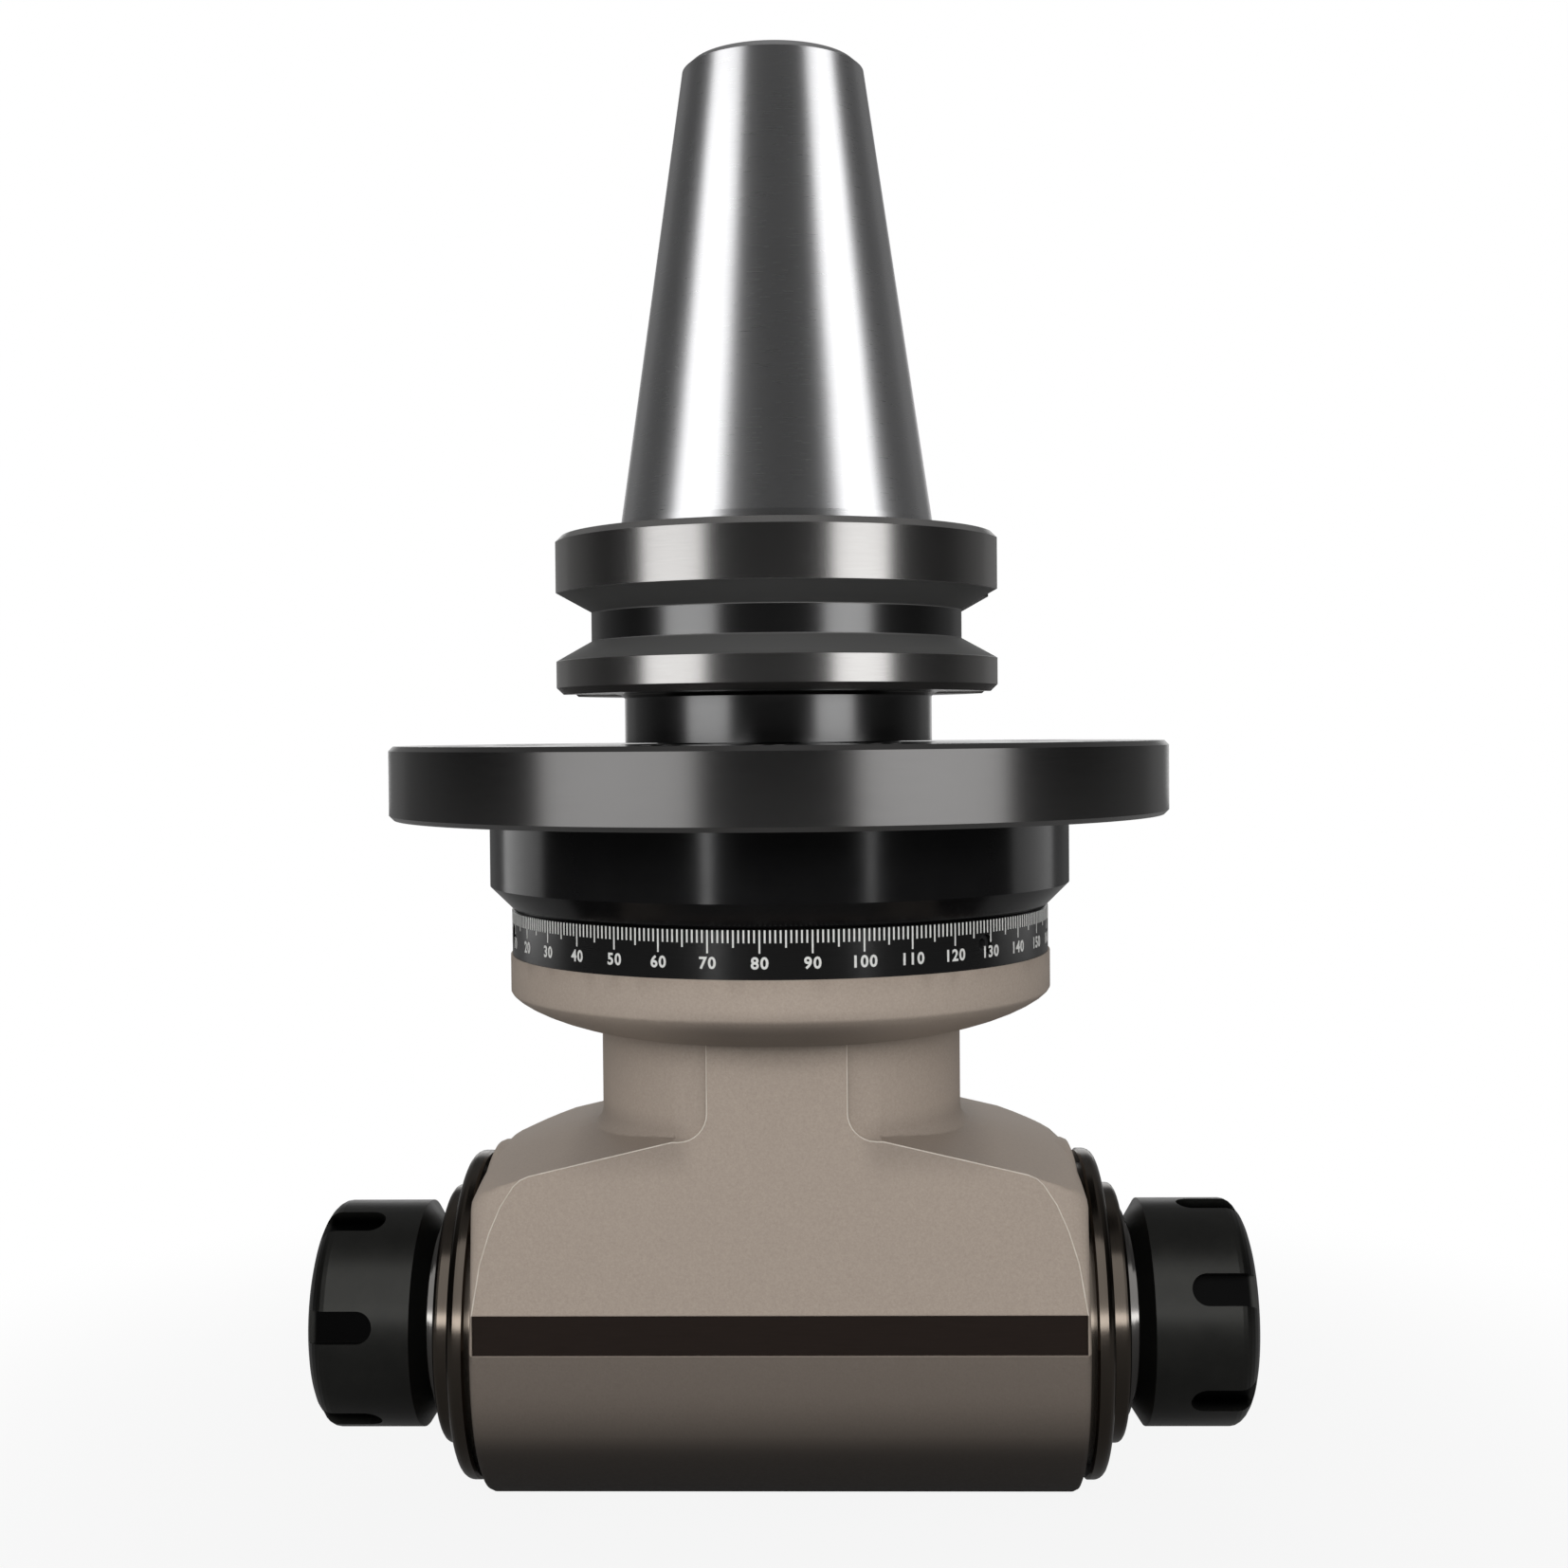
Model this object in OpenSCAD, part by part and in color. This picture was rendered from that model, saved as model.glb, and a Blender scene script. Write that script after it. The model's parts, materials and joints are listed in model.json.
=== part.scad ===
// Two-way right angle milling head with a 7:24 taper shank.
// The origin is the centre of the taper's gauge plane, +Z points up to the small end of the taper,
// +X points along the right output spindle, and the front of the head faces -Y.

/* [Taper shank] */
// Diameter of the 7:24 taper at the gauge plane
gauge_d = 69.85; // [67:0.05:72]
// Length of the taper above the gauge plane
taper_l = 101.8; // [92:0.1:110]
// Bevel at the small end of the taper
tip_bevel = 1.5; // [0.5:0.1:3]
// Step from the gauge plane down to the gripper flange
flange_gap = 3; // [2:0.1:6]
// Diameter of the gripper flange
grip_d = 100; // [96:0.5:108]
// Height of the gripper flange
grip_h = 35; // [32:0.5:40]
// Bevel on the rims of the gripper flange
grip_bevel = 1.5; // [0.5:0.1:2.5]
// Diameter at the floor of the V groove
groove_d = 85; // [80:0.5:90]
// Width of the V groove at its mouth
groove_w = 15; // [11:0.5:18]
// Depth from the flange top to the middle of the V groove
groove_drop = 20.2; // [16:0.2:22]
// Width of the two drive keyways
keyway_w = 25.7; // [20:0.1:28]
// Distance from the axis to the floor of a keyway
keyway_floor = 35.4; // [35.4:0.1:40]
// Diameter of the neck between the flange and the disc
neck_d = 69; // [69:0.5:80]
// Height of the neck
neck_h = 11; // [8:0.5:18]
// Bore of the pull stud thread
stud_d = 21; // [17:0.1:23]
// Depth of the pull stud thread below its pilot
stud_l = 45; // [30:1:60]
// Diameter of the pull stud pilot bore
stud_pilot_d = 25; // [24:0.1:28]
// Depth of the pull stud pilot bore
stud_pilot_l = 11; // [6:0.5:14]

/* [Input bearings] */
// Diameter of the shaft where the disc seal runs
seal_shaft_d = 55; // [53:0.5:58]
// Outer diameter of the disc seal
disc_seal_od = 68; // [64:0.5:69]
// Thickness of the disc seal
disc_seal_t = 7.5; // [5:0.5:10]
// Shaft diameter at the upper bearing
upper_shaft_d = 50; // [46:0.5:52]
// Outer diameter of the upper bearing
upper_od = 80; // [74:0.5:84]
// Width of the upper bearing
upper_b = 16; // [12:0.5:20]
// Length of the spacer between the input bearings
spacer_l = 24; // [18:0.5:26]
// Shaft diameter at the lower bearing
lower_shaft_d = 40; // [36:0.5:44]
// Outer diameter of the lower bearing
lower_od = 68; // [64:0.5:70]
// Width of the lower bearing
lower_b = 15; // [12:0.5:17]
// Height of the lock nut on the input shaft
input_nut_h = 9; // [6:0.5:10]
// Diameter of the lock nut on the input shaft
input_nut_d = 52; // [48:0.5:56]

/* [Mounting disc] */
// Diameter of the mounting disc
disc_d = 173; // [172:1:190]
// Thickness of the mounting disc
disc_t = 16; // [12:0.5:20]
// Bevel on the rims of the mounting disc
disc_bevel = 1; // [0.5:0.1:2]
// Pitch circle of the machine bolts
bolt_pcd = 151; // [150:0.5:153]
// Number of machine bolts
bolt_count = 6; // [3:1:8]
// Bolt hole diameter
bolt_hole_d = 11; // [7:0.5:12]
// Diameter of the bolt head pockets under the disc
bolt_head_d = 18; // [14:0.5:19]
// Depth of the bolt head pockets
bolt_head_t = 8; // [4:0.5:10]

/* [Swivel collar] */
// Diameter of the swivel collar
collar_d = 129.5; // [129:0.5:132]
// Height of the swivel collar
collar_h = 20; // [19.5:0.5:24]
// Bevel at the bottom of the collar
collar_bevel = 5; // [2:0.5:6]
// Diameter of the housing spigot that turns in the collar
spigot_d = 100; // [94:0.5:102]
// Depth of the retainer pocket in the top of the collar
pocket_h = 10; // [9:0.5:11]
// Diameter of the retainer ring
retainer_d = 109; // [107:0.5:110]
// Thickness of the retainer ring
retainer_t = 6; // [5:0.5:7]
// Number of retainer screws
retainer_screws_n = 8; // [4:1:12]
// Number of screws that hold the disc on the collar
disc_screws_n = 8; // [4:1:12]
// Diameter of the disc screws
disc_screw_d = 6; // [5:0.5:6]
// Diameter of the swivel clamp screws
clamp_screw_d = 6; // [4:0.5:6]

/* [Scale ring] */
// Diameter of the scale ring
ring_d = 120; // [117:0.5:120.5]
// Height of the scale ring
ring_h = 10; // [9:0.1:13]
// Wall of the scale ring
ring_wall = 7; // [5:0.5:8]
// Diameter of the grub screws in the scale ring
grub_d = 4; // [3:0.5:5]

/* [Housing] */
// Distance from the gauge plane down to the output axis
axis_drop = 178; // [177:0.5:200]
// Diameter of the flange under the scale ring
head_d = 120.8; // [120.6:0.2:126]
// Height of the straight rim of that flange
head_h = 8; // [5:0.5:9]
// Height of the rounded underside of that flange
bell_h = 8.2; // [7:0.2:12]
// Diameter of the housing neck
casting_neck_d = 80.5; // [79:0.5:83]
// Diameter of the barrel
barrel_d = 77.5; // [77:0.5:84]
// Length of the barrel
barrel_l = 130; // [130:0.5:145]
// Height of the shoulders above the output axis at the neck
shoulder_h = 44.6; // [44:0.2:50]
// Slope of the shoulders in degrees
shoulder_slope = 15; // [10:0.2:18]
// Radius of the outer corners of the shoulders
shoulder_r = 5; // [5:0.5:10]
// How far the front and back edges of the casting are rounded
edge_r = 6; // [4:0.5:7]
// Width of the strip where the flat faces run up the neck
strip_w = 29.2; // [24:0.2:34]
// Height of the dark band across the front face
band_h = 8.5; // [6:0.1:12]
// Depth of the band
band_depth = 1.2; // [0.6:0.1:2]
// Width of the lip at each end of the band
band_lip = 0.8; // [0.8:0.1:3]

/* [Bevel gears] */
// Number of teeth on the pinion and on each mitre gear, an even number
teeth = 20; // [16:2:24]
// Pitch diameter of the gears
pitch_d = 52; // [50:0.5:53]
// Width of the gear teeth along the cone
face_w = 10; // [8:0.5:11]
// Play left on each flank of a tooth
flank_play = 0.1; // [0.08:0.01:0.2]
// Diameter of the shaft end in the pinion
pinion_shaft_d = 24; // [20:0.5:25]
// Diameter of the spindle end in a mitre gear
gear_shaft_d = 28; // [26:0.5:29]
// Hub diameter of all three gears
hub_d = 38; // [36:0.5:40]
// Width of the gear keys
key_w = 6; // [4:0.5:7]

/* [Output spindles] */
// Spindle diameter at the output bearings
out_shaft_d = 35; // [34:0.5:37]
// Outer diameter of the output bearings
out_od = 62; // [60:0.5:64]
// Width of each output bearing
out_b = 14; // [12:0.5:14.5]
// Length of the bearing cap nose in the barrel
cap_nose = 4; // [3:0.5:6]
// Diameter of the bearing cap
cap_d = 72.5; // [69:0.5:74]
// How far the bearing cap stands out of the barrel
cap_l = 5.5; // [4.5:0.1:7]
// Width of the undercut behind the bearing cap
cap_undercut = 1.5; // [0.8:0.1:2]
// Diameter of the labyrinth ring
labyrinth_d = 57; // [55:0.5:60]
// Width of the labyrinth ring
labyrinth_l = 4; // [3:0.1:5]
// Diameter of the spindle neck
spindle_neck_d = 46; // [44:0.5:47]
// Outer diameter of the spindle nose thread
nose_d = 39.9; // [39.5:0.1:40.5]

/* [Collet and nut] */
// Gap between the spindle neck and the back of a tightened collet nut
nut_gap = 1.2; // [0.6:0.1:4]
// Diameter of the collet nut
nut_d = 50; // [49:0.5:54]
// Length of the collet nut
nut_l = 26.5; // [25:0.5:27]
// Length of the rounded front of the nut
nut_round = 5; // [3:0.5:6]
// Number of spanner slots in the nut
slot_n = 6; // [4:1:8]
// Width of a spanner slot
slot_w = 7; // [5:0.5:8]
// Length of a spanner slot
slot_l = 15.5; // [12:0.5:17]
// Depth of a spanner slot
slot_depth = 3; // [2:0.1:3.5]
// Turn of the left nut's slots in degrees
left_slot_turn = 38; // [0:1:59]
// Turn of the right nut's slots in degrees
right_slot_turn = 4; // [0:1:59]
// Largest diameter of the collet
collet_d = 33; // [32:0.2:33.5]
// Length of the collet
collet_l = 40; // [38:0.5:40]
// Tool shank diameter in the collet
tool_d = 16; // [6:0.5:18]
// Number of slits from each end of the collet
slit_n = 8; // [4:1:8]
// Width of a collet slit
slit_w = 1; // [0.5:0.1:1.2]

/* [Clearances] */
// Radial clearance of what runs in a bore
run_gap = 0.05; // [0.03:0.01:0.09]
// Radial clearance of what is seated in a bore
seat_gap = 0.02; // [0.01:0.005:0.03]
// Gap between flat faces that pass each other
face_gap = 0.3; // [0.15:0.05:0.4]
// Gap between the swivel's own flat faces
swivel_gap = 0.05; // [0.03:0.01:0.1]

/* [Hidden] */
$fn = 96;

polished = "#c8c8cc";
dark_steel = "#55565a";
black_oxide = "#2a2a2b";
cast_beige = "#a3958a";
brown_steel = "#4a3f38";
bright_screw = "#8d8f92";
seal_rubber = "#1c1c1c";

// Overlap that makes cuts run clean through a face
eps = 0.01;
// Half the slope of the 7:24 taper
taper_rate = 7 / 24 / 2;
// Half angle of the V groove
groove_angle = 30;

// Heights of the input line, all measured from the gauge plane
grip_top = -flange_gap;
grip_bottom = grip_top - grip_h;
disc_top = grip_bottom - neck_h;
disc_bottom = disc_top - disc_t;
collar_bottom = disc_bottom - collar_h;
spigot_top = disc_bottom - pocket_h;
retainer_nose = 2;
upper_top = spigot_top - retainer_nose;
upper_bottom = upper_top - upper_b;
lower_top = upper_bottom - spacer_l;
lower_bottom = lower_top - lower_b;
input_nut_bottom = lower_bottom - input_nut_h;
input_thread_d = lower_shaft_d - 1;
// Bore that clears the spacer and holds the upper bearing's outer ring from below
relief_d = upper_od - 8;
ring_top = collar_bottom - face_gap;
head_top = ring_top - ring_h;
bell_top = head_top - head_h;
bell_bottom = bell_top - bell_h;

// Bevel gear shape, on the developed back cone
cone_l = pitch_d / 2 / sin(45);
tooth_module = pitch_d / teeth;
pressure = 20;
virtual_teeth = teeth / cos(45);
pitch_r_dev = cone_l;
base_r_dev = pitch_r_dev * cos(pressure);
tip_r_dev = pitch_r_dev + tooth_module;
root_r_dev = pitch_r_dev - 1.25 * tooth_module;
inner_share = (cone_l - face_w) / cone_l;
flank_steps = 4;
gear_front = (2 * cone_l * sin(45) - root_r_dev * sin(45)) * inner_share;
gear_back = 2 * cone_l * sin(45) - root_r_dev * sin(45);
hub_start = (gear_front + gear_back) / 2;
// Flat recess inside the small ends of the teeth, where a washer or a lock nut seats
gear_recess_d = 2 * root_r_dev * cos(45) * inner_share - 1;

// Stations along an output spindle, measured from the head's axis
barrel_end = barrel_l / 2;
bearing_out = barrel_end - cap_nose;
bearing_in = bearing_out - 2 * out_b;
out_nut_l = 7;
spindle_end_step = 2;
// Gap between the two bearings of a pair
pair_gap = 0.1;
spindle_end = gear_front - out_nut_l;
cap_end = barrel_end + cap_l;
labyrinth_start = cap_end + face_gap;
labyrinth_end = labyrinth_start + labyrinth_l;
neck_shoulder_l = 1.5;
neck_end = labyrinth_end + neck_shoulder_l;
nut_rear = neck_end + nut_gap;
nut_reach = nut_rear + nut_l;
nut_bevel_l = 3;
nut_bevel_r = 4.7;
nose_end = nut_reach - 7;
lip_start = nose_end + 0.9;
lip_end = lip_start + 1.2;
collet_front = nut_reach + 0.4;
collet_back = collet_front - collet_l;
cone_angle = 8;
front_angle = 30;
collet_tip_l = 4;
groove_start = nose_end + 0.2;
groove_end = lip_end + 0.4;
spindle_bore_d = tool_d + 2;

module seat(d, top, bottom) {
    translate([0, 0, bottom - eps]) cylinder(d = d + 2 * seat_gap, h = top - bottom + 2 * eps);
}

module ring_of(n, radius, turn = 0) {
    for (i = [0 : n - 1]) rotate([0, 0, turn + i * 360 / n]) translate([radius, 0, 0]) children();
}

// side is 1 for the right spindle and -1 for the left one
module on_output(side) {
    translate([0, 0, -axis_drop]) rotate([0, side * 90, 0]) children();
}

// A bored cylinder between two stations on its axis
module sleeve(outer_d, inner_d, low, high) {
    difference() {
        translate([0, 0, low]) cylinder(d = outer_d, h = high - low);
        translate([0, 0, low - eps]) cylinder(d = inner_d, h = high - low + 2 * eps);
    }
}

// Socket head screw that points down, with the underside of its head at z = 0
module socket_screw(d, l, head_d, head_h) {
    difference() {
        union() {
            cylinder(d = head_d, h = head_h);
            translate([0, 0, -l]) cylinder(d = d, h = l + eps);
        }
        translate([0, 0, head_h / 2]) cylinder(d = head_d * 0.55, h = head_h, $fn = 6);
    }
}

// Set screw along +X from start to end, with its socket at the outer end
module set_screw(d, start, end) {
    rotate([0, 90, 0]) difference() {
        translate([0, 0, start]) cylinder(d = d, h = end - start);
        translate([0, 0, end - d / 2]) cylinder(d = d * 0.58, h = d, $fn = 6);
    }
}

function ball_d(bore, od) = 0.3 * (od - bore);
function ball_circle(bore, od) = (od + bore) / 4;
function ball_count(bore, od) = floor(PI * ball_circle(bore, od) * 2 / (1.25 * ball_d(bore, od)));

module race(inner_r, outer_r, bore, od, b) {
    rotate_extrude() difference() {
        translate([inner_r, 0]) square([outer_r - inner_r, b]);
        translate([ball_circle(bore, od), b / 2]) circle(r = ball_d(bore, od) / 2 + run_gap);
    }
}

module outer_race(bore, od, b) {
    race(ball_circle(bore, od) + 0.3 * ball_d(bore, od), od / 2, bore, od, b);
}

module inner_race(bore, od, b) {
    race(bore / 2 + seat_gap, ball_circle(bore, od) - 0.3 * ball_d(bore, od), bore, od, b);
}

module balls(bore, od, b) {
    ring_of(ball_count(bore, od), ball_circle(bore, od))
        translate([0, 0, b / 2]) sphere(d = ball_d(bore, od), $fn = 32);
}

// Taper shank, and the gripper flange with the drive shaft below it
module taper_shank() {
    gauge_r = gauge_d / 2;
    tip_r = gauge_r - taper_l * taper_rate;
    color(polished) difference() {
        rotate_extrude() polygon([
            [0, taper_l],
            [tip_r - tip_bevel, taper_l],
            [tip_r + tip_bevel * taper_rate, taper_l - tip_bevel],
            [gauge_r, 0],
            [gauge_r, grip_top],
            [0, grip_top]]);
        translate([0, 0, taper_l - stud_pilot_l]) cylinder(d = stud_pilot_d, h = stud_pilot_l + 1);
        translate([0, 0, taper_l - stud_pilot_l - stud_l]) cylinder(d = stud_d, h = stud_l + 1);
    }
}

module drive_flange() {
    groove_mid = grip_top - groove_drop;
    floor_w = groove_w - (grip_d - groove_d) * tan(groove_angle);
    fillet = 0.8;
    shaft_end = -axis_drop + gear_front;
    color(polished) difference() {
        rotate_extrude() polygon([
            [0, grip_top],
            [grip_d / 2 - grip_bevel, grip_top],
            [grip_d / 2, grip_top - grip_bevel],
            [grip_d / 2, groove_mid + groove_w / 2],
            [groove_d / 2, groove_mid + floor_w / 2],
            [groove_d / 2, groove_mid - floor_w / 2],
            [grip_d / 2, groove_mid - groove_w / 2],
            [grip_d / 2, grip_bottom + grip_bevel],
            [grip_d / 2 - grip_bevel, grip_bottom],
            [neck_d / 2 + fillet, grip_bottom],
            [neck_d / 2, grip_bottom - fillet],
            [neck_d / 2, disc_top + face_gap],
            [seal_shaft_d / 2, disc_top + face_gap],
            [seal_shaft_d / 2, upper_top],
            [upper_shaft_d / 2, upper_top],
            [upper_shaft_d / 2, upper_bottom],
            [lower_shaft_d / 2, upper_bottom],
            [lower_shaft_d / 2, lower_bottom],
            [input_thread_d / 2, lower_bottom],
            [input_thread_d / 2, input_nut_bottom],
            [pinion_shaft_d / 2, input_nut_bottom],
            [pinion_shaft_d / 2, shaft_end],
            [0, shaft_end]]);
        for (side = [0, 180]) rotate([0, 0, side])
            translate([keyway_floor, -keyway_w / 2, grip_bottom - eps])
                cube([grip_d, keyway_w, grip_h + 2 * eps]);
        translate([0, 0, shaft_end - 1])
            cylinder(d = pinion_bolt_d + 2 * seat_gap, h = pinion_bolt_l + 1);
        key_slot(pinion_shaft_d, input_nut_bottom, shaft_end);
    }
}

// Slot or solid for a key on the +X side of a shaft, half in the shaft and half in the hub
module key_slot(shaft_d, top, bottom, play = 0) {
    translate([shaft_d / 2 - key_w / 2 - play, -key_w / 2 - play, bottom - eps])
        cube([key_w + 2 * play, key_w + 2 * play, top - bottom + 2 * eps]);
}

pinion_bolt_d = 10;
pinion_bolt_l = 22;
pinion_bolt_head_d = 16;
pinion_bolt_head_h = 6;
pinion_washer_t = 3;
pinion_washer_d = 30;

module upper_bearing_inner() {
    color(bright_screw) translate([0, 0, upper_bottom]) inner_race(upper_shaft_d, upper_od, upper_b);
}

module upper_bearing_outer() {
    color(bright_screw) translate([0, 0, upper_bottom]) outer_race(upper_shaft_d, upper_od, upper_b);
}

module upper_bearing_balls() {
    color(polished) translate([0, 0, upper_bottom]) balls(upper_shaft_d, upper_od, upper_b);
}

module lower_bearing_inner() {
    color(bright_screw) translate([0, 0, lower_bottom]) inner_race(lower_shaft_d, lower_od, lower_b);
}

module lower_bearing_outer() {
    color(bright_screw) translate([0, 0, lower_bottom]) outer_race(lower_shaft_d, lower_od, lower_b);
}

module lower_bearing_balls() {
    color(polished) translate([0, 0, lower_bottom]) balls(lower_shaft_d, lower_od, lower_b);
}

module input_spacer() {
    color(dark_steel)
        sleeve(upper_shaft_d + 6, lower_shaft_d + 2 * seat_gap, lower_top, upper_bottom);
}

// Round nut with four hook spanner slots
module slotted_nut(outer_d, inner_d, low, high) {
    slot = 5;
    difference() {
        sleeve(outer_d, inner_d, low, high);
        ring_of(4, outer_d / 2 - 2)
            translate([0, -slot / 2, low - eps]) cube([slot, slot, high - low + 2 * eps]);
    }
}

module input_lock_nut() {
    color(dark_steel)
        slotted_nut(input_nut_d, input_thread_d + 2 * seat_gap, input_nut_bottom, lower_bottom);
}

// Bevel gears. The gear's apex is at the origin and its axis is Z.
function involute(a) = tan(a) * 180 / PI - a;
function flank_angle(rho) =
    let (half = 90 / virtual_teeth - flank_play / pitch_r_dev * 180 / PI,
         a = acos(min(1, base_r_dev / rho)))
    half + involute(pressure) - involute(a);
function flank_radius(k) = root_r_dev + (tip_r_dev - root_r_dev) * k / flank_steps;
function tooth_side(sign) = [for (k = [0 : flank_steps])
    let (rho = flank_radius(sign < 0 ? k : flank_steps - k)) [rho, sign * flank_angle(rho)]];
function on_back_cone(p, turn) =
    let (phi = p[1] / cos(45) + turn, r = p[0] * cos(45))
    [r * cos(phi), r * sin(phi), 2 * cone_l * sin(45) - p[0] * sin(45)];

module toothed_ring() {
    tooth = concat(tooth_side(-1), tooth_side(1));
    rim = [for (i = [0 : teeth - 1]) for (p = tooth) on_back_cone(p, i * 360 / teeth)];
    n = len(rim);
    polyhedron(
        points = concat(rim, rim * inner_share, [[0, 0, gear_back], [0, 0, gear_front]]),
        faces = concat(
            [for (i = [0 : n - 1]) let (j = (i + 1) % n) [i, j, n + j, n + i]],
            [for (i = [0 : n - 1]) let (j = (i + 1) % n) [2 * n, j, i]],
            [for (i = [0 : n - 1]) let (j = (i + 1) % n) [2 * n + 1, n + i, n + j]]));
}

// tooth_turn turns the teeth against the keyway, which stays on the +X side
module bevel_gear(shaft_d, hub_end, tooth_turn = 0) {
    difference() {
        union() {
            rotate([0, 0, tooth_turn]) toothed_ring();
            translate([0, 0, hub_start]) cylinder(d = hub_d, h = hub_end - hub_start);
        }
        translate([0, 0, -1]) cylinder(d = shaft_d + 2 * seat_gap, h = hub_end + 2);
        cylinder(d = gear_recess_d, h = gear_front);
        key_slot(shaft_d, hub_end, gear_front, seat_gap);
    }
}

module drive_pinion() {
    color(dark_steel) translate([0, 0, -axis_drop])
        bevel_gear(pinion_shaft_d, axis_drop + input_nut_bottom);
}

module pinion_key() {
    color(bright_screw)
        key_slot(pinion_shaft_d, input_nut_bottom - 1, -axis_drop + gear_front + 1);
}

module pinion_washer() {
    top = -axis_drop + gear_front;
    color(bright_screw)
        sleeve(pinion_washer_d, pinion_bolt_d + 0.5, top - pinion_washer_t, top);
}

module pinion_bolt() {
    seat_z = -axis_drop + gear_front - pinion_washer_t;
    color(dark_steel) translate([0, 0, seat_z]) rotate([180, 0, 0])
        socket_screw(pinion_bolt_d, pinion_bolt_l, pinion_bolt_head_d, pinion_bolt_head_h);
}

// Mounting disc and swivel
disc_screw_r = (collar_d + retainer_d + 1) / 4;
disc_screw_seat = disc_top - disc_screw_d - 1;
disc_screw_head_d = disc_screw_d + 4;
// Shallow relief in the disc's face around the shank's neck
neck_relief_d = neck_d + 2;
neck_relief_t = 0.5;

module mounting_disc() {
    seal_pocket = disc_seal_t + neck_relief_t;
    color(dark_steel) difference() {
        rotate_extrude() polygon([
            [0, disc_top],
            [disc_d / 2 - disc_bevel, disc_top],
            [disc_d / 2, disc_top - disc_bevel],
            [disc_d / 2, disc_bottom + disc_bevel],
            [disc_d / 2 - disc_bevel, disc_bottom],
            [0, disc_bottom]]);
        translate([0, 0, disc_bottom - 1]) cylinder(d = seal_shaft_d + 1, h = disc_t + 2);
        seat(disc_seal_od, disc_top + 1, disc_top - seal_pocket);
        translate([0, 0, disc_top - neck_relief_t]) cylinder(d = neck_relief_d, h = 2 * neck_relief_t);
        translate([0, 0, disc_bottom - 1]) ring_of(bolt_count, bolt_pcd / 2, 30) {
            cylinder(d = bolt_hole_d, h = disc_t + 2);
            cylinder(d = bolt_head_d, h = bolt_head_t + 1);
        }
        ring_of(disc_screws_n, disc_screw_r, 180 / disc_screws_n) {
            translate([0, 0, disc_bottom - 1]) cylinder(d = disc_screw_d + 0.6, h = disc_t + 2);
            translate([0, 0, disc_screw_seat])
                cylinder(d = disc_screw_head_d + 1, h = disc_screw_d + 2);
        }
    }
}

module shaft_seal() {
    lip_r = seal_shaft_d / 2 + run_gap;
    top = disc_top - neck_relief_t;
    low = top - disc_seal_t;
    color(seal_rubber) rotate_extrude() polygon([
        [lip_r, low + 2],
        [lip_r + 1.5, low],
        [disc_seal_od / 2, low],
        [disc_seal_od / 2, top],
        [lip_r, top],
        [lip_r, top - 1],
        [lip_r + 1.5, top - 2],
        [lip_r + 1.5, low + 3]]);
}

clamp_z = (spigot_top + collar_bottom) / 2 + 1;
clamp_angles = [15, 90, 165];
disc_screw_l = disc_screw_seat - disc_bottom + pocket_h;
index_angle = 186;

module swivel_collar() {
    bore_r = spigot_d / 2 + run_gap;
    pocket_r = retainer_d / 2 + 0.5;
    mark_w = 0.6;
    color(black_oxide) difference() {
        rotate_extrude() polygon([
            [pocket_r, disc_bottom],
            [collar_d / 2, disc_bottom],
            [collar_d / 2, collar_bottom + collar_bevel],
            [collar_d / 2 - collar_bevel, collar_bottom],
            [bore_r, collar_bottom],
            [bore_r, spigot_top - swivel_gap],
            [pocket_r, spigot_top - swivel_gap]]);
        ring_of(disc_screws_n, disc_screw_r, 180 / disc_screws_n)
            translate([0, 0, disc_screw_seat - disc_screw_l - 1])
                cylinder(d = disc_screw_d + 2 * seat_gap, h = disc_screw_l + 2);
        for (a = clamp_angles) rotate([0, 0, a]) translate([0, 0, clamp_z]) rotate([0, 90, 0])
            cylinder(d = clamp_screw_d + 2 * seat_gap, h = collar_d);
        rotate([0, 0, index_angle])
            translate([collar_d / 2 - collar_bevel / 2 - 0.4, -mark_w / 2, collar_bottom - 1])
                cube([collar_bevel, mark_w, collar_bevel + 3]);
    }
}

module disc_screws() {
    color(black_oxide) ring_of(disc_screws_n, disc_screw_r, 180 / disc_screws_n)
        translate([0, 0, disc_screw_seat])
            socket_screw(disc_screw_d, disc_screw_l, disc_screw_head_d, disc_screw_d);
}

clamp_groove_depth = 0.8;

module clamp_screws() {
    color(black_oxide) for (a = clamp_angles) rotate([0, 0, a]) translate([0, 0, clamp_z])
        set_screw(clamp_screw_d, spigot_d / 2 - clamp_groove_depth + face_gap, collar_d / 2 - 0.5);
}

retainer_screw_d = 4;
retainer_screw_r = (spigot_d + upper_od) / 4;
retainer_screw_l = 14;

module swivel_retainer() {
    color(dark_steel) difference() {
        rotate_extrude() polygon([
            [relief_d / 2, spigot_top + retainer_t],
            [retainer_d / 2, spigot_top + retainer_t],
            [retainer_d / 2, spigot_top],
            [upper_od / 2 - seat_gap, spigot_top],
            [upper_od / 2 - seat_gap, upper_top],
            [relief_d / 2, upper_top]]);
        ring_of(retainer_screws_n, retainer_screw_r) {
            translate([0, 0, spigot_top - 1]) cylinder(d = retainer_screw_d + 0.4, h = retainer_t);
            translate([0, 0, spigot_top + retainer_t - retainer_screw_d])
                cylinder(d = retainer_screw_d + 3.8, h = retainer_screw_d + 1);
        }
    }
}

module retainer_screws() {
    color(black_oxide) ring_of(retainer_screws_n, retainer_screw_r)
        translate([0, 0, spigot_top + retainer_t - retainer_screw_d])
            socket_screw(retainer_screw_d, retainer_screw_l, retainer_screw_d + 3, retainer_screw_d);
}

boss_d = ring_d - 2 * ring_wall;
grub_angles = [76, 196, 316];
grub_z = (ring_top + head_top) / 2;

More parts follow.
